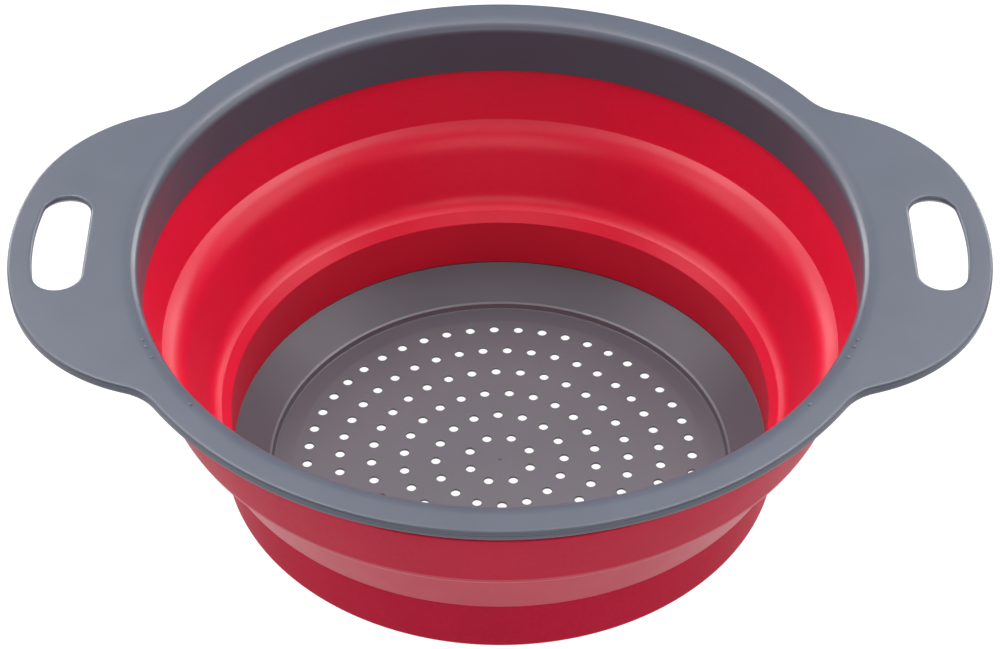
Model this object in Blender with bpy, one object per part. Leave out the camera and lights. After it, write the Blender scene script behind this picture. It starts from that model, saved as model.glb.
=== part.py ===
"""A round collapsible colander: a slotted-ear rim frame, a soft wall in three bands and a perforated base.

Metres, +Z up. The floor is z = 0, the bowl's axis is Z and the two ears point along +X and -X.
The bowl stands open. It collapses when the rim slides straight down along the axis and the middle
band of the wall turns inside out between the two stiff bands."""

import math

import bmesh
import bpy

# fits
gap = 0.0003
overrun = 0.002

# base strainer, from the floor up: a foot ring, the disc, a shallow ledge, a cone and its edge
foot_height = 0.0035
foot_thickness = 0.0024
foot_offset = 0.0040
disc_thickness = 0.0015
ledge_width = 0.0065
ledge_rise = 0.0013
cone_width = 0.0110
cone_rise = 0.0089
cone_heel_width = 0.0012
cone_heel_rise = 0.0005
base_edge_width = 0.0011
base_edge_thickness = 0.0018

# lower band of the wall: stiff, with its foot round the edge of the base
lower_band_height = 0.0178
lower_band_lap = 0.0017
lower_band_bevel = 0.0008
lower_band_top_thickness = 0.0022
lower_band_bottom_thickness = 0.0029
lower_band_slope = 0.0016

# middle band: the thin web that turns inside out, as runs and rises between its rounded bends
web_thickness = 0.0016
web_foot_run = 0.0039
web_foot_rise = 0.0009
web_foot_bend = 0.0010
web_heel_run = 0.0026
web_heel_rise = 0.0033
web_heel_bend = 0.0040
web_side_run = 0.0090
web_side_rise = 0.0216
web_shoulder_bend = 0.0035
web_crease_run = 0.0041
web_crease_rise = 0.0014
web_crease_bend = 0.0011
web_top_rise = 0.0018

# upper band: stiff, from the crease up to the skirt, whose foot it laps from outside
upper_band_height = 0.0172
upper_band_run = 0.0054
upper_band_lap_thickness = 0.0003

# rim frame: a flat flange, a rounded inner edge and a skirt that leans in down to its foot
rim_radius = 0.1220
plate_thickness = 0.0030
edge_bevel = 0.0006
inner_round = 0.0035
flange_width = 0.0112
skirt_height = 0.0190
skirt_draft = 0.0011
skirt_thickness = 0.0020
skirt_foot_thickness = 0.0009
skirt_lap = 0.0098
skirt_step_inset = 0.0013

# ears: each outline is a tip arc, two corner arcs and two fillets into the rim circle
ear_length = 0.0274
ear_tip_radius = 0.0951
ear_corner_radius = 0.0543
ear_corner_start = math.radians(16.8)
ear_fillet_radius = 0.0169

# finger slots: straight inside, parallel to the ear's tip outside
slot_width = 0.0160
slot_tip_width = 0.0074
slot_half_length = 0.0215
slot_corner_share = 0.4375

# drain holes: ring n holds eight times n holes, and every other ring is turned by half a step
hole_rings = 6
holes_per_ring_step = 8
hole_margin = 0.00536
hole_diameter = 0.0036
hole_turn = math.radians(1.8)
hole_sides = 8

# heights that follow, from the floor up
disc_top = foot_height + disc_thickness
cone_foot_height = disc_top + ledge_rise
base_edge_top = cone_foot_height + cone_rise
base_edge_bottom = base_edge_top - base_edge_thickness
lower_band_bottom = base_edge_top - lower_band_lap
lower_band_edge = base_edge_top + lower_band_height
lower_band_shoulder = lower_band_edge + lower_band_slope
web_foot_height = lower_band_edge + web_foot_rise
web_heel_height = web_foot_height + web_heel_rise
web_shoulder_height = web_heel_height + web_side_rise
web_crease_height = web_shoulder_height + web_crease_rise
upper_band_foot = web_crease_height + web_top_rise
skirt_foot = upper_band_foot + upper_band_height
skirt_step = skirt_foot + skirt_lap
rim_top = skirt_foot + skirt_height

# radii that follow, from the rim inward
ear_reach = rim_radius + ear_length
skirt_top_inner = rim_radius - flange_width
skirt_top_outer = skirt_top_inner + skirt_thickness
skirt_foot_inner = skirt_top_inner - skirt_draft
skirt_foot_outer = skirt_foot_inner + skirt_foot_thickness
upper_band_knee = skirt_foot_outer + gap + upper_band_lap_thickness
upper_band_foot_inner = skirt_foot_inner - upper_band_run
upper_band_foot_outer = upper_band_foot_inner + web_thickness
web_crease = (upper_band_foot_inner + web_thickness / 2, web_crease_height)
web_shoulder = (web_crease[0] - web_crease_run, web_shoulder_height)
web_heel = (web_shoulder[0] - web_side_run, web_heel_height)
web_foot = (web_heel[0] - web_heel_run, web_foot_height)
lower_band_inner = web_foot[0] - web_foot_run
lower_band_top_outer = lower_band_inner + lower_band_top_thickness
lower_band_bottom_outer = lower_band_inner + lower_band_bottom_thickness
base_edge_radius = lower_band_inner + base_edge_width
cone_foot = (lower_band_inner - cone_width, cone_foot_height)
cone_underside_foot = (cone_foot[0] + cone_heel_width, foot_height + cone_heel_rise)
disc_radius = cone_foot[0] - ledge_width
foot_outer_radius = disc_radius + foot_offset
foot_inner_radius = foot_outer_radius - foot_thickness
hole_ring_spacing = (disc_radius - hole_margin) / hole_rings

# facets
ring_segments = 72
ear_step = math.radians(2)
rim_step = math.radians(5)
ear_zone = math.radians(40)
round_steps = 4
web_steps = 2
slot_steps = 5
tip_steps = 6

grey = (0.135, 0.150, 0.180, 1)
dark_grey = (0.150, 0.145, 0.160, 1)
red = (0.560, 0.010, 0.030, 1)
deep_red = (0.430, 0.006, 0.024, 1)


def clear_scene():
    for thing in list(bpy.data.objects):
        bpy.data.objects.remove(thing, do_unlink=True)


def material(name, colour, roughness):
    made = bpy.data.materials.new(name)
    made.use_nodes = True
    shader = made.node_tree.nodes["Principled BSDF"]
    shader.inputs["Base Color"].default_value = colour
    shader.inputs["Roughness"].default_value = roughness
    return made


def finish_mesh(name, bm, surface):
    """Turns a bmesh into a named object with smooth round sides and its own material."""
    bmesh.ops.recalc_face_normals(bm, faces=bm.faces)
    mesh = bpy.data.meshes.new(name)
    bm.to_mesh(mesh)
    bm.free()
    mesh.shade_smooth()
    mesh.set_sharp_from_angle(angle=math.radians(30))
    mesh.materials.append(surface)
    thing = bpy.data.objects.new(name, mesh)
    bpy.context.collection.objects.link(thing)
    return thing


def arc(centre, radius, start, end, steps):
    """Points on a circle from one angle to another, both ends included."""
    turn = (end - start) / steps
    return [
        (centre[0] + radius * math.cos(start + i * turn), centre[1] + radius * math.sin(start + i * turn))
        for i in range(steps + 1)
    ]


def even_angles(count):
    return [2 * math.pi * i / count for i in range(count)]


def turned(name, section_at, angles, surface, capped=False):
    """Carries a section of (radius, height) points round the axis.

    The section is a closed loop, or with capped an open line whose two end rings are filled."""
    bm = bmesh.new()
    rings = []
    for angle in angles:
        cosine = math.cos(angle)
        sine = math.sin(angle)
        rings.append([bm.verts.new((r * cosine, r * sine, z)) for r, z in section_at(angle)])
    count = len(rings[0])
    spans = count - 1 if capped else count
    for ring, following in zip(rings, rings[1:] + rings[:1]):
        for i in range(spans):
            j = (i + 1) % count
            bm.faces.new((ring[i], ring[j], following[j], following[i]))
    if capped:
        bm.faces.new([ring[0] for ring in rings])
        bm.faces.new([ring[-1] for ring in rings])
    return finish_mesh(name, bm, surface)


def prism(name, outline, bottom, top, surface):
    """A closed solid over a plan outline."""
    bm = bmesh.new()
    floor = [bm.verts.new((x, y, bottom)) for x, y in outline]
    roof = [bm.verts.new((x, y, top)) for x, y in outline]
    bm.faces.new(floor)
    bm.faces.new(roof)
    for i in range(len(outline)):
        j = (i + 1) % len(outline)
        bm.faces.new((floor[i], floor[j], roof[j], roof[i]))
    return finish_mesh(name, bm, surface)


def cut(thing, cutter):
    """Takes a cutter out of a piece and hides the cutter."""
    cutter.hide_render = True
    cutter.display_type = "WIRE"
    taken = thing.modifiers.new("cut", "BOOLEAN")
    taken.operation = "DIFFERENCE"
    taken.object = cutter


class EarOutline:
    """The rim circle with its two ears, as a radius for each direction."""

    def __init__(self):
        self.tip = (ear_reach - ear_tip_radius, 0.0)
        inset = ear_tip_radius - ear_corner_radius
        self.corner = (
            self.tip[0] + inset * math.cos(ear_corner_start),
            inset * math.sin(ear_corner_start),
        )
        self.fillet = self.fillet_centre()
        tip_end = self.along(self.tip, ear_tip_radius, ear_corner_start)
        toward = math.atan2(self.fillet[1] - self.corner[1], self.fillet[0] - self.corner[0])
        corner_end = self.along(self.corner, ear_corner_radius, toward)
        self.tip_limit = math.atan2(tip_end[1], tip_end[0])
        self.corner_limit = math.atan2(corner_end[1], corner_end[0])
        self.fillet_limit = math.atan2(self.fillet[1], self.fillet[0])

    def fillet_centre(self):
        """The centre that touches the rim circle and the corner arc, both from outside."""
        from_axis = rim_radius + ear_fillet_radius
        from_corner = ear_corner_radius + ear_fillet_radius
        reach = math.hypot(*self.corner)
        bend = (from_axis**2 + reach**2 - from_corner**2) / (2 * from_axis * reach)
        direction = math.atan2(self.corner[1], self.corner[0]) + math.acos(bend)
        return (from_axis * math.cos(direction), from_axis * math.sin(direction))

    @staticmethod
    def along(centre, radius, angle):
        return (centre[0] + radius * math.cos(angle), centre[1] + radius * math.sin(angle))

    @staticmethod
    def ray(centre, radius, angle, side):
        """Where a ray from the axis meets a circle, on its far side (1) or near side (-1)."""
        ahead = centre[0] * math.cos(angle) + centre[1] * math.sin(angle)
        across = centre[1] * math.cos(angle) - centre[0] * math.sin(angle)
        return ahead + side * math.sqrt(radius**2 - across**2)

    def radius(self, angle):
        """The outline's radius; both ears mirror the first quarter."""
        folded = math.atan2(abs(math.sin(angle)), abs(math.cos(angle)))
        if folded < self.tip_limit:
            return self.ray(self.tip, ear_tip_radius, folded, 1)
        if folded < self.corner_limit:
            return self.ray(self.corner, ear_corner_radius, folded, 1)
        if folded < self.fillet_limit:
            return self.ray(self.fillet, ear_fillet_radius, folded, -1)
        return rim_radius


def rim_angles():
    """Fine steps across the ears, wider steps between them."""
    quarter = [i * ear_step for i in range(round(ear_zone / ear_step))]
    rest = math.pi / 2 - ear_zone
    quarter += [ear_zone + i * rim_step for i in range(round(rest / rim_step))]
    half = quarter + [math.pi - angle for angle in [math.pi / 2] + quarter[:0:-1]]
    return half + [math.pi + angle for angle in half]


def rim_section(outline, angle):
    """One radial section of the rim frame, from the skirt's inner foot up and round."""
    edge = outline.radius(angle)
    underside = rim_top - plate_thickness
    round_centre = (skirt_top_inner + inner_round, rim_top - inner_round)
    return (
        [(skirt_foot_inner, skirt_foot)]
        + arc(round_centre, inner_round, math.pi, math.pi / 2, round_steps)
        + [
            (edge - edge_bevel, rim_top),
            (edge, rim_top - edge_bevel),
            (edge, underside),
            (skirt_top_outer, underside),
            (skirt_top_outer, skirt_step),
            (skirt_top_outer - skirt_step_inset, skirt_step),
            (skirt_foot_outer, skirt_foot),
        ]
    )


def slot_outline(side):
    """The finger slot's plan outline on one side (1 or -1), from arcs."""
    corner = slot_width * slot_corner_share
    end = slot_half_length - corner
    tip = (ear_reach - ear_tip_radius, 0.0)
    outer_radius = ear_tip_radius - slot_tip_width
    inner = ear_reach - slot_tip_width - slot_width + corner
    outer = tip[0] + math.sqrt((outer_radius - corner) ** 2 - end**2)
    lean = math.atan2(end, outer - tip[0])
    half_turn = math.pi / 2
    points = arc((inner, -end), corner, math.pi, math.pi + half_turn, slot_steps)
    points += arc((outer, -end), corner, -half_turn, -lean, slot_steps)
    points += arc(tip, outer_radius, -lean, lean, tip_steps)[1:-1]
    points += arc((outer, end), corner, lean, half_turn, slot_steps)
    points += arc((inner, end), corner, half_turn, math.pi, slot_steps)
    return [(side * x, y) for x, y in points]


def make_rim_frame():
    outline = EarOutline()
    surface = material("rim_grey_plastic", grey, 0.42)
    frame = turned("rim_frame", lambda angle: rim_section(outline, angle), rim_angles(), surface)
    bottom = rim_top - plate_thickness - overrun
    for side, word in ((1, "right"), (-1, "left")):
        slot = prism(f"{word}_slot_cutter", slot_outline(side), bottom, rim_top + overrun, surface)
        cut(frame, slot)
    return frame


def upper_band_section(_angle):
    """The stiff band below the rim; its top lies in the step round the skirt's foot."""
    return [
        (upper_band_foot_inner, upper_band_foot),
        (skirt_foot_inner, skirt_foot - gap),
        (skirt_foot_outer + gap, skirt_foot - gap),
        (skirt_top_outer - skirt_step_inset + gap, skirt_step - gap),
        (skirt_top_outer, skirt_step - gap),
        (upper_band_knee, skirt_foot),
        (upper_band_foot_outer, upper_band_foot),
    ]


def make_upper_band():
    surface = material("upper_band_soft_red", red, 0.38)
    return turned("upper_band", upper_band_section, even_angles(ring_segments), surface)


def rounded_line(start, bends, end, steps):
    """An open line through corners, each corner rounded by an arc that touches both its sides."""
    corners = [start] + [point for point, _ in bends] + [end]
    line = [start]
    for i, (corner, radius) in enumerate(bends, start=1):
        into = math.atan2(corner[1] - corners[i - 1][1], corner[0] - corners[i - 1][0])
        out = math.atan2(corners[i + 1][1] - corner[1], corners[i + 1][0] - corner[0])
        turn = (out - into + math.pi) % (2 * math.pi) - math.pi
        reach = radius * math.tan(abs(turn) / 2)
        first = (corner[0] - reach * math.cos(into), corner[1] - reach * math.sin(into))
        side = math.copysign(math.pi / 2, turn)
        centre = (first[0] + radius * math.cos(into + side), first[1] + radius * math.sin(into + side))
        line += arc(centre, radius, into - side, into - side + turn, steps)
    return line + [end]


def ribbon(line, thickness):
    """A closed loop at half the thickness on each side of an open line."""
    left = []
    right = []
    for i, (x, z) in enumerate(line):
        before = line[max(i - 1, 0)]
        after = line[min(i + 1, len(line) - 1)]
        length = math.hypot(after[0] - before[0], after[1] - before[1])
        across = (-(after[1] - before[1]) / length, (after[0] - before[0]) / length)
        left.append((x + across[0] * thickness / 2, z + across[1] * thickness / 2))
        right.append((x - across[0] * thickness / 2, z - across[1] * thickness / 2))
    return left + right[::-1]


def lower_band_outer_at(height):
    """The lower band's outer radius, which grows evenly from its shoulder to its bottom."""
    fall = (lower_band_shoulder - height) / (lower_band_shoulder - lower_band_bottom)
    return lower_band_top_outer + fall * (lower_band_bottom_outer - lower_band_top_outer)


def make_fold_web():
    """The thin middle band: a crease, a steep run and a heel that meets the lower band."""
    surface = material("fold_web_soft_red", red, 0.38)
    top = (web_crease[0], upper_band_foot - gap)
    bends = [
        (web_crease, web_crease_bend),
        (web_shoulder, web_shoulder_bend),
        (web_heel, web_heel_bend),
        (web_foot, web_foot_bend),
    ]
    end = (lower_band_outer_at(web_foot[1] - web_thickness / 2) + gap, web_foot[1])
    loop = ribbon(rounded_line(top, bends, end, web_steps), web_thickness)
    return turned("fold_web", lambda _angle: loop, even_angles(ring_segments), surface)


def lower_band_section(_angle):
    """The stiff band above the base; its foot laps the base's edge from above and outside."""
    seat = base_edge_top + gap
    lap = base_edge_radius + gap
    bevel_top = lower_band_bottom + lower_band_bevel
    return [
        (lower_band_inner, lower_band_edge),
        (lower_band_top_outer, lower_band_shoulder),
        (lower_band_outer_at(bevel_top), bevel_top),
        (lower_band_bottom_outer - lower_band_bevel, lower_band_bottom),
        (lap, lower_band_bottom),
        (lap, seat),
        (lower_band_inner, seat),
    ]


def make_lower_band():
    surface = material("lower_band_soft_red", deep_red, 0.38)
    return turned("lower_band", lower_band_section, even_angles(ring_segments), surface)


def base_section(_angle):
    """Half of the base, as a line from the disc's top out over the edge and back under."""
    return [
        (disc_radius, disc_top),
        cone_foot,
        (lower_band_inner, base_edge_top),
        (base_edge_radius, base_edge_top),
        (base_edge_radius, base_edge_bottom),
        cone_underside_foot,
        (foot_outer_radius, foot_height),
        (foot_outer_radius, 0.0),
        (foot_inner_radius, 0.0),
        (foot_inner_radius, foot_height),
    ]


def hole_centres():
    """Ring n holds eight times n holes at an even pitch."""
    centres = []
    for ring in range(1, hole_rings + 1):
        count = holes_per_ring_step * ring
        half_step = ring % 2 / 2
        for i in range(count):
            angle = 2 * math.pi * (i + half_step) / count + hole_turn
            radius = ring * hole_ring_spacing
            centres.append((radius * math.cos(angle), radius * math.sin(angle)))
    return centres


def make_hole_cutter(surface):
    """One mesh of separate prisms, one for each drain hole."""
    bottom = foot_height - overrun
    top = disc_top + overrun
    bm = bmesh.new()
    for x, y in hole_centres():
        outline = [
            (x + px, y + py)
            for px, py in arc((0.0, 0.0), hole_diameter / 2, 0.0, 2 * math.pi, hole_sides)[:-1]
        ]
        floor = [bm.verts.new((px, py, bottom)) for px, py in outline]
        roof = [bm.verts.new((px, py, top)) for px, py in outline]
        bm.faces.new(floor)
        bm.faces.new(roof)
        for i in range(hole_sides):
            j = (i + 1) % hole_sides
            bm.faces.new((floor[i], floor[j], roof[j], roof[i]))
    return finish_mesh("drain_hole_cutter", bm, surface)


def make_base_strainer():
    surface = material("base_grey_plastic", dark_grey, 0.45)
    base = turned("base_strainer", base_section, even_angles(ring_segments), surface, capped=True)
    cut(base, make_hole_cutter(surface))
    return base


def make_colander():
    """The rim frame and the upper band move together; the web joins them to the lower band and base."""
    frame = make_rim_frame()
    upper = make_upper_band()
    web = make_fold_web()
    lower = make_lower_band()
    base = make_base_strainer()
    rim_slide = bpy.data.objects.new("rim_slide", None)
    bpy.context.collection.objects.link(rim_slide)
    for thing in (frame, upper):
        thing.parent = rim_slide
    for thing in (web, lower):
        thing.parent = base


clear_scene()
make_colander()
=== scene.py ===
"""The collapsible colander's looks: a satin rim with slotted ears, a seamless wall and a perforated base.

Metres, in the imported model's frame: the floor is z = 0, the bowl's axis is Z and the ears lie along X.
Every turned shape is a line of (radius, height) points carried round the axis."""

import math

import bmesh
import bpy
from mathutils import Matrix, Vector


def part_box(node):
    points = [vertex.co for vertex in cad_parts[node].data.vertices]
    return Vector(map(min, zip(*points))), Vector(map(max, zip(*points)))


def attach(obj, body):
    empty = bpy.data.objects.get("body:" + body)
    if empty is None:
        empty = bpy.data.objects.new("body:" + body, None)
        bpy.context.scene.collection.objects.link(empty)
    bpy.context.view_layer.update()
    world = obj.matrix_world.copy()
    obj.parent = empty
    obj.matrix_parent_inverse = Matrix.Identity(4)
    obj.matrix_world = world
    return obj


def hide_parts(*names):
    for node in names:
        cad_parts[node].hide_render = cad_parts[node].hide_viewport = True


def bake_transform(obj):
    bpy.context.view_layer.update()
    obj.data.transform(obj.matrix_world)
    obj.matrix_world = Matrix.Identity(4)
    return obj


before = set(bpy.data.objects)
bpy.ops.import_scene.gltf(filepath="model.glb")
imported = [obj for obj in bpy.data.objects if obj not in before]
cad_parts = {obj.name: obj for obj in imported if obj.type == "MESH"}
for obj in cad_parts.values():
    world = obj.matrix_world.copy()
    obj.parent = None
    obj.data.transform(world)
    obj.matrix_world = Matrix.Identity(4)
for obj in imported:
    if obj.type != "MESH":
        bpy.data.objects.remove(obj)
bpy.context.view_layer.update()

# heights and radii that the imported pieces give
rim_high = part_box("rim_frame")[1]
lower_band_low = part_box("lower_band")[0]
rim_top = rim_high[2]
ear_reach = rim_high[0]
rim_radius = rim_high[1]
lower_band_bottom = lower_band_low[2]

# rim frame: a margin is the flat ring between a rounded edge and the face beside it
plate_thickness = 0.0030
edge_round = 0.0008
edge_margin = edge_round * 2
edge_groove = 0.00022
edge_groove_round = edge_groove / 2
edge_groove_depth = 0.0015
slot_round = 0.0009
slot_margin = slot_round * 2
slot_land = 0.0014
slot_land_round = slot_round / 3
slot_flare = 0.0012
shoulder_start = 0.1137
shoulder_margin = 0.0040
shoulder_fall = 0.0015
shoulder_top_round = 0.0092
shoulder_round = 0.0032
skirt_top_inner = 0.1100
skirt_top_outer = 0.1128
skirt_foot_inner = 0.1097
skirt_foot_outer = 0.1106
skirt_foot = 0.0792
skirt_foot_round = 0.0004
skirt_back_round = 0.00015
skirt_step = 0.0855
skirt_step_inset = 0.0013
skirt_root_round = 0.0008
skirt_root_margin = 0.0016

# ears: the outline is a tip arc, two corner arcs and two fillets into the rim circle
ear_tip_radius = 0.0951
ear_corner_radius = 0.0543
ear_corner_start = math.radians(16.8)
ear_fillet_radius = 0.0169
slot_inner_edge = 0.1260
slot_half_length = 0.0215
slot_corner_radius = 0.0073
slot_tip_width = 0.0074

# wall: each corner is its point and the radius of its bend, up the inner side and down the outer side
wall_lap = 0.0003
wall_lap_round = 0.0002
wall_shadow_gap = 0.0009
base_edge_radius = 0.0866
base_edge_top = 0.0152
lower_band_inner = 0.0855
lower_band_edge = 0.0330
wall_inner_corners = [
    ((lower_band_inner, lower_band_edge), 0.0004),
    ((0.0884, 0.0361), 0.0012),
    ((0.0915, 0.0375), 0.0068),
    ((0.0995, 0.0595), 0.0120),
    ((0.1053, 0.0621), 0.0004),
    ((skirt_foot_inner + wall_shadow_gap, skirt_foot - wall_lap), wall_lap_round),
]
wall_outer_corners = [
    ((skirt_top_outer, skirt_step - wall_lap), 0.0006),
    ((0.1112, skirt_foot), 0.0020),
    ((0.1059, 0.0600), 0.0030),
    ((0.1010, 0.0580), 0.0050),
    ((0.0929, 0.0361), 0.0016),
    ((0.0893, 0.0331), 0.0008),
    ((0.0878, 0.0331), 0.0004),
    ((0.0884, lower_band_bottom), 0.0008),
    ((base_edge_radius + wall_lap, lower_band_bottom), wall_lap_round),
    ((base_edge_radius + wall_lap, base_edge_top + wall_lap), wall_lap_round),
]

# base: the disc, a gutter with a low riser, the cone, the edge that carries the wall, and the foot ring
disc_top = 0.0050
disc_thickness = 0.0015
disc_edge = 0.0668
disc_edge_margin = 0.0006
disc_edge_round = 0.0080
gutter_foot = (0.0735, 0.0045)
ledge_edge = (0.0742, 0.0061)
ledge_round = 0.0002
cone_foot = (0.0750, 0.00643)
base_bend_round = 0.0003
base_edge_underside = 0.0134
cone_back_foot = (0.0757, 0.0040)
cone_back_round = 0.0010
foot_outer_radius = 0.0720
foot_inner_radius = 0.0696
foot_round = 0.0005
foot_margin = 0.0010

# drain holes
hole_rings = 6
holes_per_ring_step = 8
hole_ring_spacing = 0.01044
hole_diameter = 0.0031
hole_turn = math.radians(1.8)
hole_round = 0.0002
hole_margin = hole_round * 2
hole_land = 0.0008
hole_flare = 0.0009

# small marks
gate_pip_radius = 0.0006
gate_pip_height = 0.0003
ejector_radius = 0.0006
ejector_height = 0.00006
ejector_ring = 0.1137
ejector_angles = [math.radians(degrees) for degrees in (22.6, 24.2, 26.7, 38.6)]

# facets
rim_segments = 360
wall_segments = 240
base_segments = 240
arc_steps = 4
slot_steps = 10
tip_steps = 16
hole_sides = 20
hole_bend_steps = 3
dome_sides = 24
dome_levels = 4
longest_wall_step = 0.0012
least_bend = math.radians(1)

# finishes
rim_colour = (0.070, 0.079, 0.107)
base_colour = (0.079, 0.077, 0.098)
wall_inner_colour = (0.630, 0.0040, 0.0310)
# painted shade: the wall is one red all through; its outer side and its web's outer side are coloured
# darker to stand in for less light there
wall_outer_painted_shade_colour = (0.395, 0.0036, 0.0290)
wall_web_painted_shade_colour = (0.390, 0.0036, 0.0300)
wall_dust_colour = (0.60, 0.10, 0.12, 1.0)
noise_middle_half = (0.25, 0.75)

# the wall's material slots for its outer side and its web, both a darker red that is painted shade, the
# height where the web's slot ends, and the lean that still counts as outside, where 1 faces straight out
# and -1 straight in
outer_painted_shade_slot = 1
web_painted_shade_slot = 2
web_painted_shade_top = 0.0620
outward_limit = -0.1

# floor
floor_size = 6
floor_height = -0.0001
floor_dark_tone = (0.09, 0.09, 0.09, 1)
floor_light_tone = (0.10, 0.10, 0.10, 1)
floor_roughness = 0.9
floor_glow = 1.02

# lights: each softbox is its name, azimuth, elevation, size and power; the side ones stand on both sides
softbox_distance = 1.35
side_softboxes = [
    ("softbox", 90, 40, (0.7, 0.6), 4.2),
    ("low_softbox", 90, 15, (0.7, 0.4), 2.6),
    ("rear_softbox", 144, 19, (0.45, 0.75), 8.5),
    ("back_softbox", 135, 60, (0.6, 0.5), 9.0),
]
middle_softboxes = [
    ("back_softbox", 180, 45, (0.8, 0.5), 1.1),
    ("front_softbox", 0, 33, (1.3, 0.9), 6.9),
    ("high_softbox", 180, 74, (0.9, 0.3), 1.2),
    ("top_softbox", 0, 84, (0.8, 0.7), 2.8),
]
backdrop_colour = (0.95, 0.97, 1.0, 1)
backdrop_strength = 0.05

# camera
camera_tilt = math.radians(42.4)
camera_distance = 0.9357
camera_aim_height = 0.0642
camera_lens = 108
camera_sensor_width = 36


def arc(centre, radius, start, end, steps):
    """Points on a circle from one angle to another, both ends included."""
    turn = (end - start) / steps
    return [
        (centre[0] + radius * math.cos(start + i * turn), centre[1] + radius * math.sin(start + i * turn))
        for i in range(steps + 1)
    ]


def rounded(corners, closed=False, steps=arc_steps):
    """A line through (point, bend radius) corners, each bend an arc that touches both its sides."""
    line = []
    count = len(corners)
    for i, (corner, radius) in enumerate(corners):
        if not closed and i in (0, count - 1):
            line.append(corner)
            continue
        before = corners[i - 1][0]
        after = corners[(i + 1) % count][0]
        into = math.atan2(corner[1] - before[1], corner[0] - before[0])
        out = math.atan2(after[1] - corner[1], after[0] - corner[0])
        turn = (out - into + math.pi) % (2 * math.pi) - math.pi
        if abs(turn) < least_bend:
            line.append(corner)
            continue
        reach = radius * math.tan(abs(turn) / 2)
        start = (corner[0] - reach * math.cos(into), corner[1] - reach * math.sin(into))
        side = math.copysign(math.pi / 2, turn)
        centre = (start[0] + radius * math.cos(into + side), start[1] + radius * math.sin(into + side))
        line += arc(centre, radius, into - side, into - side + turn, steps)
    return line


def divided(loop, longest):
    """A closed loop whose long straight runs get points in between."""
    points = []
    for here, there in zip(loop, loop[1:] + loop[:1]):
        count = max(1, math.ceil(math.dist(here, there) / longest))
        for i in range(count):
            share = i / count
            points.append(tuple(a + share * (b - a) for a, b in zip(here, there)))
    return points


def even_turns(count):
    """Angles at an even spacing round a full turn."""
    return [2 * math.pi * i / count for i in range(count)]


def join_rings(bm, rings, closed=False):
    """Quads between rings that have the same number of vertices."""
    following = rings[1:] + rings[:1] if closed else rings[1:]
    for ring, after in zip(rings, following):
        count = len(ring)
        for i in range(count):
            j = (i + 1) % count
            bm.faces.new((ring[i], ring[j], after[j], after[i]))


def turned(bm, line, segments, closed=False):
    """Carries a line of (radius, height) points round the axis and returns its rings."""
    turn = 2 * math.pi / segments
    spokes = [(math.cos(i * turn), math.sin(i * turn)) for i in range(segments)]
    rings = [[bm.verts.new((r * c, r * s, z)) for c, s in spokes] for r, z in line]
    join_rings(bm, rings, closed)
    return rings


def fill_flat(bm, loops):
    """Fills the flat region between an outer loop of vertices and the loops inside it."""
    edges = []
    for loop in loops:
        for here, there in zip(loop, loop[1:] + loop[:1]):
            edges.append(bm.edges.get((here, there)) or bm.edges.new((here, there)))
    bmesh.ops.triangle_fill(bm, use_beauty=True, edges=edges)


def offset(outline, distance):
    """An anticlockwise plan outline moved inward by a distance, or outward where it is negative."""
    moved = []
    count = len(outline)
    for i, point in enumerate(outline):
        before = outline[i - 1]
        after = outline[(i + 1) % count]
        across = (-(after[1] - before[1]), after[0] - before[0])
        length = math.hypot(*across)
        moved.append((point[0] + distance * across[0] / length, point[1] + distance * across[1] / length))
    return moved


def edge_rings(bm, outline, profile):
    """Rings of vertices round a plan outline, one for each (inset, height) of a profile."""
    rings = []
    for inset, height in profile:
        rings.append([bm.verts.new((x, y, height)) for x, y in offset(outline, inset)])
    join_rings(bm, rings)
    return rings


def finish_piece(name, bm, surface, body):
    """Makes the named piece from a bmesh, with even shading, and sets what it rides on."""
    bmesh.ops.recalc_face_normals(bm, faces=bm.faces)
    mesh = bpy.data.meshes.new(name)
    bm.to_mesh(mesh)
    bm.free()
    mesh.shade_smooth()
    mesh.materials.append(surface)
    piece = bpy.data.objects.new(name, mesh)
    bpy.context.collection.objects.link(piece)
    shading = piece.modifiers.new("even_shading", "WEIGHTED_NORMAL")
    shading.keep_sharp = True
    if body:
        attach(piece, body)
    return piece


class Nodes:
    """A short way to add shader nodes to a material and link them."""

    def __init__(self, name):
        self.material = bpy.data.materials.new(name)
        self.material.use_nodes = True
        self.tree = self.material.node_tree
        self.shader = self.tree.nodes["Principled BSDF"]
        self.place = self.add("ShaderNodeTexCoord").outputs["Object"]

    def add(self, kind, **inputs):
        made = self.tree.nodes.new(kind)
        for name, value in inputs.items():
            self.feed(made.inputs[name], value)
        return made

    def feed(self, socket, value):
        """Links a node's output to a socket, or sets the socket to a plain value."""
        if isinstance(value, bpy.types.NodeSocket):
            self.tree.links.new(value, socket)
        else:
            socket.default_value = value

    def noise(self, scale, detail=2.0, roughness=0.5):
        made = self.add("ShaderNodeTexNoise", Vector=self.place, Scale=scale)
        self.feed(made.inputs["Detail"], detail)
        self.feed(made.inputs["Roughness"], roughness)
        return made.outputs["Fac"]

    def ranged(self, value, low, high):
        """Maps the middle half of a noise onto a range."""
        made = self.add("ShaderNodeMapRange")
        self.feed(made.inputs["Value"], value)
        made.inputs["From Min"].default_value = noise_middle_half[0]
        made.inputs["From Max"].default_value = noise_middle_half[1]
        made.inputs["To Min"].default_value = low
        made.inputs["To Max"].default_value = high
        return made.outputs["Result"]

    def mixed(self, share, first, second):
        made = self.add("ShaderNodeMix")
        made.data_type = "RGBA"
        self.feed(made.inputs["Factor"], share)
        self.feed(made.inputs["A"], first)
        self.feed(made.inputs["B"], second)
        return made.outputs["Result"]

    def bump(self, height, distance, strength, onto=None):
        made = self.add("ShaderNodeBump", Height=height, Distance=distance, Strength=strength)
        if onto:
            self.feed(made.inputs["Normal"], onto)
        return made.outputs["Normal"]


def scaled(colour, factor):
    """A colour made darker or lighter, with the fourth channel that a socket needs."""
    return tuple(channel * factor for channel in colour) + (1.0,)


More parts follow.
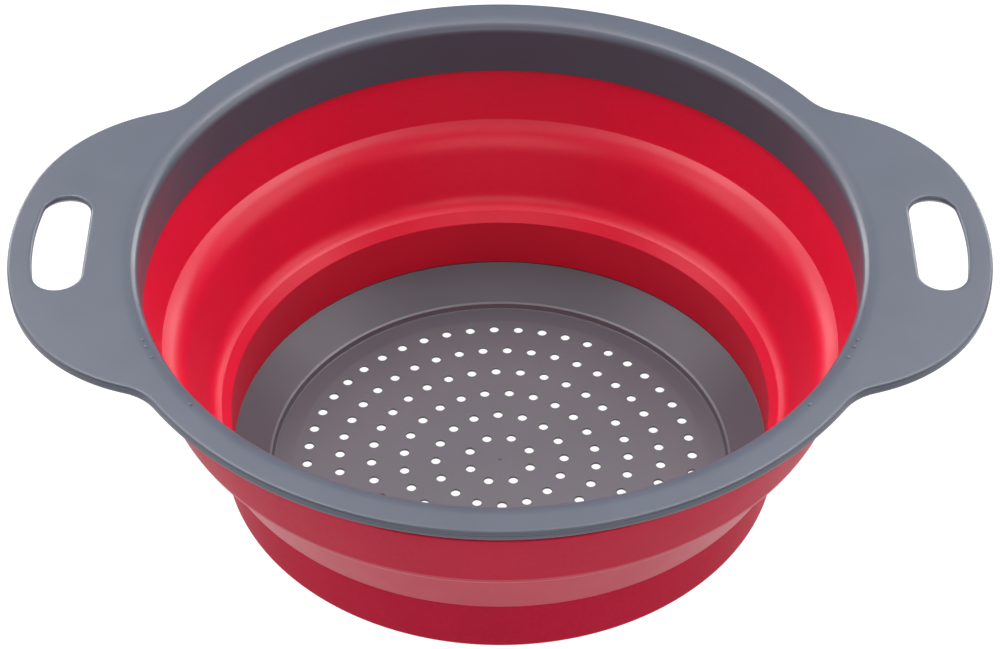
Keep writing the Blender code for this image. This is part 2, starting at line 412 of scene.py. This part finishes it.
def plastic(name, colour, roughness, grain, gloss):
    """A moulded satin plastic: slow colour drift from the melt, a fine etched grain and worn gloss."""
    nodes = Nodes(name)
    darker = scaled(colour, 0.95)
    lighter = scaled(colour, 1.05)
    speck_colour = scaled(colour, 0.80)
    drift = nodes.noise(scale=22, detail=3)
    speck = nodes.noise(scale=1400, detail=1)
    toned = nodes.mixed(nodes.ranged(drift, low=0, high=1), darker, lighter)
    speckled = nodes.mixed(nodes.ranged(speck, low=0, high=0.10), toned, speck_colour)
    nodes.feed(nodes.shader.inputs["Base Color"], speckled)
    wear = nodes.noise(scale=60, detail=4, roughness=0.6)
    worn = nodes.ranged(wear, low=roughness - 0.04, high=roughness + 0.05)
    nodes.feed(nodes.shader.inputs["Roughness"], worn)
    ripple = nodes.bump(nodes.noise(scale=35, detail=1), distance=0.0004, strength=0.12)
    etched = nodes.bump(nodes.noise(grain, detail=2), distance=0.00004, strength=0.35, onto=ripple)
    nodes.feed(nodes.shader.inputs["Normal"], etched)
    nodes.shader.inputs["Specular IOR Level"].default_value = gloss
    return nodes.material


def elastomer(name, colour, roughness, gloss):
    """A soft moulded wall: deep even colour, slightly cloudy, with a faint waviness in its gloss."""
    nodes = Nodes(name)
    darker = scaled(colour, 0.94)
    lighter = scaled(colour, 1.05)
    cloud = nodes.noise(scale=30, detail=3)
    speck = nodes.noise(scale=900, detail=1)
    toned = nodes.mixed(nodes.ranged(cloud, low=0, high=1), darker, lighter)
    dusted = nodes.mixed(nodes.ranged(speck, low=0, high=0.06), toned, wall_dust_colour)
    nodes.feed(nodes.shader.inputs["Base Color"], dusted)
    wear = nodes.noise(scale=75, detail=4, roughness=0.6)
    worn = nodes.ranged(wear, low=roughness - 0.03, high=roughness + 0.03)
    nodes.feed(nodes.shader.inputs["Roughness"], worn)
    waviness = nodes.bump(nodes.noise(scale=45, detail=1), distance=0.0005, strength=0.12)
    skin = nodes.bump(nodes.noise(scale=1800, detail=2), distance=0.00003, strength=0.25, onto=waviness)
    nodes.feed(nodes.shader.inputs["Normal"], skin)
    nodes.shader.inputs["Specular IOR Level"].default_value = gloss
    return nodes.material


class EarOutline:
    """The rim circle with its two ears, as a radius for each direction."""

    def __init__(self):
        self.tip = (ear_reach - ear_tip_radius, 0.0)
        inset = ear_tip_radius - ear_corner_radius
        self.corner = (
            self.tip[0] + inset * math.cos(ear_corner_start),
            inset * math.sin(ear_corner_start),
        )
        self.fillet = self.fillet_centre()
        tip_end = self.along(self.tip, ear_tip_radius, ear_corner_start)
        toward = math.atan2(self.fillet[1] - self.corner[1], self.fillet[0] - self.corner[0])
        corner_end = self.along(self.corner, ear_corner_radius, toward)
        self.tip_limit = math.atan2(tip_end[1], tip_end[0])
        self.corner_limit = math.atan2(corner_end[1], corner_end[0])
        self.fillet_limit = math.atan2(self.fillet[1], self.fillet[0])

    def fillet_centre(self):
        """The centre that touches the rim circle and the corner arc, both from outside."""
        from_axis = rim_radius + ear_fillet_radius
        from_corner = ear_corner_radius + ear_fillet_radius
        reach = math.hypot(*self.corner)
        bend = (from_axis**2 + reach**2 - from_corner**2) / (2 * from_axis * reach)
        direction = math.atan2(self.corner[1], self.corner[0]) + math.acos(bend)
        return (from_axis * math.cos(direction), from_axis * math.sin(direction))

    @staticmethod
    def along(centre, radius, angle):
        """The point on a circle at an angle."""
        return (centre[0] + radius * math.cos(angle), centre[1] + radius * math.sin(angle))

    @staticmethod
    def ray(centre, radius, angle, side):
        """Where a ray from the axis meets a circle, on its far side (1) or near side (-1)."""
        ahead = centre[0] * math.cos(angle) + centre[1] * math.sin(angle)
        across = centre[1] * math.cos(angle) - centre[0] * math.sin(angle)
        return ahead + side * math.sqrt(radius**2 - across**2)

    def radius(self, angle):
        """The outline's radius; both ears mirror the first quarter."""
        folded = math.atan2(abs(math.sin(angle)), abs(math.cos(angle)))
        if folded < self.tip_limit:
            return self.ray(self.tip, ear_tip_radius, folded, 1)
        if folded < self.corner_limit:
            return self.ray(self.corner, ear_corner_radius, folded, 1)
        if folded < self.fillet_limit:
            return self.ray(self.fillet, ear_fillet_radius, folded, -1)
        return rim_radius

    def points(self, count):
        return [self.along((0.0, 0.0), self.radius(turn), turn) for turn in even_turns(count)]


def slot_outline(side):
    """The finger slot's plan outline on one side (1 or -1), anticlockwise."""
    end = slot_half_length - slot_corner_radius
    tip = (ear_reach - ear_tip_radius, 0.0)
    outer_radius = ear_tip_radius - slot_tip_width
    inner = slot_inner_edge + slot_corner_radius
    outer = tip[0] + math.sqrt((outer_radius - slot_corner_radius) ** 2 - end**2)
    lean = math.atan2(end, outer - tip[0])
    half_turn = math.pi / 2
    points = arc((inner, -end), slot_corner_radius, math.pi, math.pi + half_turn, slot_steps)
    points += arc((outer, -end), slot_corner_radius, -half_turn, -lean, slot_steps)
    points += arc(tip, outer_radius, -lean, lean, tip_steps)[1:-1]
    points += arc((outer, end), slot_corner_radius, lean, half_turn, slot_steps)
    points += arc((inner, end), slot_corner_radius, half_turn, math.pi, slot_steps)
    return [(side * x, y) for x, y in points[::side]]


def outer_edge_profile():
    """The rim's outer edge as (inset, height): a round top, a fine parting groove and a round foot."""
    underside = rim_top - plate_thickness
    groove = rim_top - edge_groove_depth
    corners = [
        ((edge_margin, rim_top), 0),
        ((0.0, rim_top), edge_round),
        ((0.0, groove + edge_groove), edge_groove_round),
        ((edge_groove, groove), edge_groove_round),
        ((edge_groove / 2, groove - edge_groove), edge_groove_round),
        ((edge_groove / 2, underside), edge_round / 2),
        ((edge_margin, underside), 0),
    ]
    return rounded(corners)


def slot_edge_profile():
    """A slot's edge as (inset, height); the insets are negative because the slot is a hole."""
    underside = rim_top - plate_thickness
    corners = [
        ((-slot_margin, rim_top), 0),
        ((0.0, rim_top), slot_round),
        ((0.0, rim_top - slot_land), slot_land_round),
        ((-slot_flare, underside), slot_land_round),
        ((-slot_flare - slot_round, underside), 0),
    ]
    return rounded(corners)


def skirt_line():
    """The rim's inner side, from the flat top over the shoulder, down the skirt and up its back."""
    underside = rim_top - plate_thickness
    corners = [
        ((shoulder_start + shoulder_margin, rim_top), 0),
        ((shoulder_start, rim_top), shoulder_top_round),
        ((skirt_top_inner, rim_top - shoulder_fall), shoulder_round),
        ((skirt_foot_inner, skirt_foot), skirt_foot_round),
        ((skirt_foot_outer, skirt_foot), skirt_back_round),
        ((skirt_top_outer - skirt_step_inset, skirt_step), skirt_back_round),
        ((skirt_top_outer, skirt_step), skirt_back_round),
        ((skirt_top_outer, underside), skirt_root_round),
        ((skirt_top_outer + skirt_root_margin, underside), 0),
    ]
    return rounded(corners)


def make_rim(surface):
    """One moulding: the flange with its ears and slots, the shoulder and the skirt."""
    bm = bmesh.new()
    inner = turned(bm, skirt_line(), rim_segments)
    outline = EarOutline().points(rim_segments)
    outer = edge_rings(bm, outline, outer_edge_profile())
    slots = [edge_rings(bm, slot_outline(side), slot_edge_profile()) for side in (1, -1)]
    fill_flat(bm, [outer[0], inner[0]] + [slot[0] for slot in slots])
    fill_flat(bm, [outer[-1], inner[-1]] + [slot[-1] for slot in slots])
    rim = finish_piece("rim_moulding", bm, surface, "rim")
    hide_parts("rim_frame")


def wall_loop():
    """The whole soft wall's section: up the inner side, over the lap on the skirt, down the outer side."""
    lap_foot = (skirt_foot_outer + wall_lap, skirt_foot - wall_lap)
    lap_top = (skirt_top_outer - skirt_step_inset + wall_lap, skirt_step - wall_lap)
    corners = (
        [((lower_band_inner, base_edge_top + wall_lap), wall_lap_round)]
        + wall_inner_corners
        + [(lap_foot, wall_lap_round), (lap_top, wall_lap_round)]
        + wall_outer_corners
    )
    return divided(rounded(corners, closed=True), longest_wall_step)


def make_wall(inner_surface, outer_painted_shade_surface, web_painted_shade_surface):
    """One seamless moulding from the base's edge up over the rim's skirt, attached to no body.

    Its outer side has a duller gloss and a darker red that is painted shade, and the web's part of that
    side has the same darker red with a little more gloss."""
    bm = bmesh.new()
    turned(bm, wall_loop(), wall_segments, closed=True)
    wall = finish_piece("soft_wall", bm, inner_surface, None)
    wall.data.materials.append(outer_painted_shade_surface)
    wall.data.materials.append(web_painted_shade_surface)
    # outer faces get the darker red that is painted shade; the web's band gets its glossier copy
    for face in wall.data.polygons:
        reach = face.center.xy
        outside = face.normal.xy.dot(reach) > outward_limit * reach.length
        on_web = lower_band_edge < face.center.z < web_painted_shade_top
        if outside:
            face.material_index = web_painted_shade_slot if on_web else outer_painted_shade_slot
    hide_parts("upper_band", "fold_web", "lower_band")
    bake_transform(wall)


def base_line():
    """The base outward from the disc, over the gutter, riser, cone and top edge, and back underneath."""
    disc_underside = disc_top - disc_thickness
    corners = [
        ((disc_edge - disc_edge_margin, disc_top), 0),
        ((disc_edge, disc_top), disc_edge_round),
        (gutter_foot, base_bend_round),
        (ledge_edge, ledge_round),
        (cone_foot, base_bend_round),
        ((lower_band_inner, base_edge_top), base_bend_round),
        ((base_edge_radius, base_edge_top), base_bend_round),
        ((base_edge_radius, base_edge_underside), base_bend_round),
        (cone_back_foot, cone_back_round),
        ((foot_outer_radius, disc_underside), foot_round),
        ((foot_outer_radius, 0.0), foot_round),
        ((foot_inner_radius, 0.0), foot_round),
        ((foot_inner_radius, disc_underside), foot_round),
        ((foot_inner_radius - foot_margin, disc_underside), 0),
    ]
    return rounded(corners)


def hole_centres():
    """Ring n holds eight times n holes at an even pitch."""
    centres = []
    for ring in range(1, hole_rings + 1):
        count = holes_per_ring_step * ring
        half_step = ring % 2 / 2
        for i in range(count):
            angle = 2 * math.pi * (i + half_step) / count + hole_turn
            radius = ring * hole_ring_spacing
            centres.append((radius * math.cos(angle), radius * math.sin(angle)))
    return centres


def hole_profile():
    """A drain hole's edge as (inset, height): a rounded lip, a short land and a flare below it."""
    underside = disc_top - disc_thickness
    corners = [
        ((-hole_margin, disc_top), 0),
        ((0.0, disc_top), hole_round),
        ((0.0, disc_top - hole_land), hole_round),
        ((-hole_flare, underside), hole_round),
        ((-hole_flare - hole_margin, underside), 0),
    ]
    return rounded(corners, steps=hole_bend_steps)


def make_base(surface):
    """One moulding: the perforated disc, the cone, the edge that carries the wall and the foot ring."""
    bm = bmesh.new()
    body = turned(bm, base_line(), base_segments)
    profile = hole_profile()
    holes = []
    for x, y in hole_centres():
        circle = arc((x, y), hole_diameter / 2, 0.0, 2 * math.pi, hole_sides)[:-1]
        holes.append(edge_rings(bm, circle, profile))
    fill_flat(bm, [body[0]] + [hole[0] for hole in holes])
    fill_flat(bm, [body[-1]] + [hole[-1] for hole in holes])
    base = finish_piece("base_moulding", bm, surface, "base")
    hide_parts("base_strainer")


def make_dome(name, centre, radius, height, surface, body):
    """A shallow round mark that stands on a flat face."""
    bm = bmesh.new()
    rings = []
    for level in range(dome_levels):
        lift = math.pi / 2 * level / dome_levels
        spread = radius * math.cos(lift)
        rise = centre[2] + height * math.sin(lift)
        ring = [
            (centre[0] + spread * math.cos(turn), centre[1] + spread * math.sin(turn), rise)
            for turn in even_turns(dome_sides)
        ]
        rings.append([bm.verts.new(point) for point in ring])
    join_rings(bm, rings)
    bm.faces.new(rings[-1])
    bm.faces.new(rings[0])
    finish_piece(name, bm, surface, body)


def make_marks(rim_surface, base_surface):
    """The gate mark at the disc's centre, and the ejector marks on the flange near the shoulder."""
    centre = (0, 0, disc_top)
    make_dome("gate_mark", centre, gate_pip_radius, gate_pip_height, base_surface, "base")
    for word, side in (("right", 1), ("left", -1)):
        for number, angle in enumerate(ejector_angles, start=1):
            name = f"{word}_ejector_mark_{number}"
            x = side * ejector_ring * math.cos(angle)
            y = -ejector_ring * math.sin(angle)
            centre = (x, y, rim_top)
            make_dome(name, centre, ejector_radius, ejector_height, rim_surface, "rim")


def make_floor():
    """A white table top that glows as a lit sweep does."""
    bpy.ops.mesh.primitive_plane_add(size=floor_size, location=(0, 0, floor_height))
    floor = bpy.context.object
    floor.name = "studio_floor"
    nodes = Nodes("white_table")
    tone = nodes.mixed(nodes.ranged(nodes.noise(scale=3), low=0, high=1), floor_dark_tone, floor_light_tone)
    nodes.feed(nodes.shader.inputs["Base Color"], tone)
    nodes.shader.inputs["Roughness"].default_value = floor_roughness
    nodes.shader.inputs["Specular IOR Level"].default_value = 0.0
    nodes.shader.inputs["Emission Color"].default_value = (1, 1, 1, 1)
    nodes.shader.inputs["Emission Strength"].default_value = floor_glow
    floor.data.materials.append(nodes.material)


def make_softbox(name, azimuth, elevation, size, power):
    """A softbox aimed at the bowl; azimuth 0 is the camera's side and 90 is the right."""
    turn = math.radians(azimuth)
    lift = math.radians(elevation)
    away = Vector((math.sin(turn) * math.cos(lift), -math.cos(turn) * math.cos(lift), math.sin(lift)))
    light = bpy.data.lights.new(name, "AREA")
    light.shape = "RECTANGLE"
    light.size, light.size_y = size
    light.energy = power
    box = bpy.data.objects.new(name, light)
    box.location = away * softbox_distance + Vector((0, 0, rim_top / 2))
    box.rotation_euler = away.to_track_quat("Z", "Y").to_euler()
    bpy.context.collection.objects.link(box)


def make_lights():
    """A faint cool backdrop and the softboxes."""
    world = bpy.data.worlds.new("studio")
    bpy.context.scene.world = world
    world.use_nodes = True
    backdrop = world.node_tree.nodes["Background"]
    backdrop.inputs["Color"].default_value = backdrop_colour
    backdrop.inputs["Strength"].default_value = backdrop_strength
    for word, side in (("right", 1), ("left", -1)):
        for name, azimuth, elevation, size, power in side_softboxes:
            make_softbox(f"{word}_{name}", side * azimuth, elevation, size, power)
    for name, azimuth, elevation, size, power in middle_softboxes:
        make_softbox(name, azimuth, elevation, size, power)


def make_camera():
    """The photograph's view: 42 degrees down, square to the ears, through a long lens."""
    camera = bpy.data.cameras.new("camera")
    camera.lens = camera_lens
    camera.sensor_width = camera_sensor_width
    view = bpy.data.objects.new("camera", camera)
    away = -camera_distance * math.cos(camera_tilt)
    height = camera_aim_height + camera_distance * math.sin(camera_tilt)
    view.location = (0, away, height)
    view.rotation_euler = (math.pi / 2 - camera_tilt, 0, 0)
    bpy.context.collection.objects.link(view)
    bpy.context.scene.camera = view


def make_colander():
    """The whole colander: rim, wall, base and the small marks on them."""
    rim_surface = plastic("rim_grey", rim_colour, roughness=0.34, grain=2600, gloss=0.50)
    base_surface = plastic("base_grey", base_colour, roughness=0.44, grain=2400, gloss=0.74)
    inner_surface = elastomer("wall_satin_red", wall_inner_colour, roughness=0.36, gloss=0.32)
    # painted shade: the outer side and the web are the inner red coloured darker
    outer_painted_shade_surface = elastomer("wall_dull_red_painted_shade", wall_outer_painted_shade_colour, roughness=0.42, gloss=0.05)
    web_painted_shade_surface = elastomer("wall_web_red_painted_shade", wall_web_painted_shade_colour, roughness=0.36, gloss=0.20)
    make_rim(rim_surface)
    make_wall(inner_surface, outer_painted_shade_surface, web_painted_shade_surface)
    make_base(base_surface)
    make_marks(rim_surface, base_surface)


make_colander()
make_floor()
make_lights()
make_camera()
bpy.context.scene.view_settings.view_transform = "Standard"
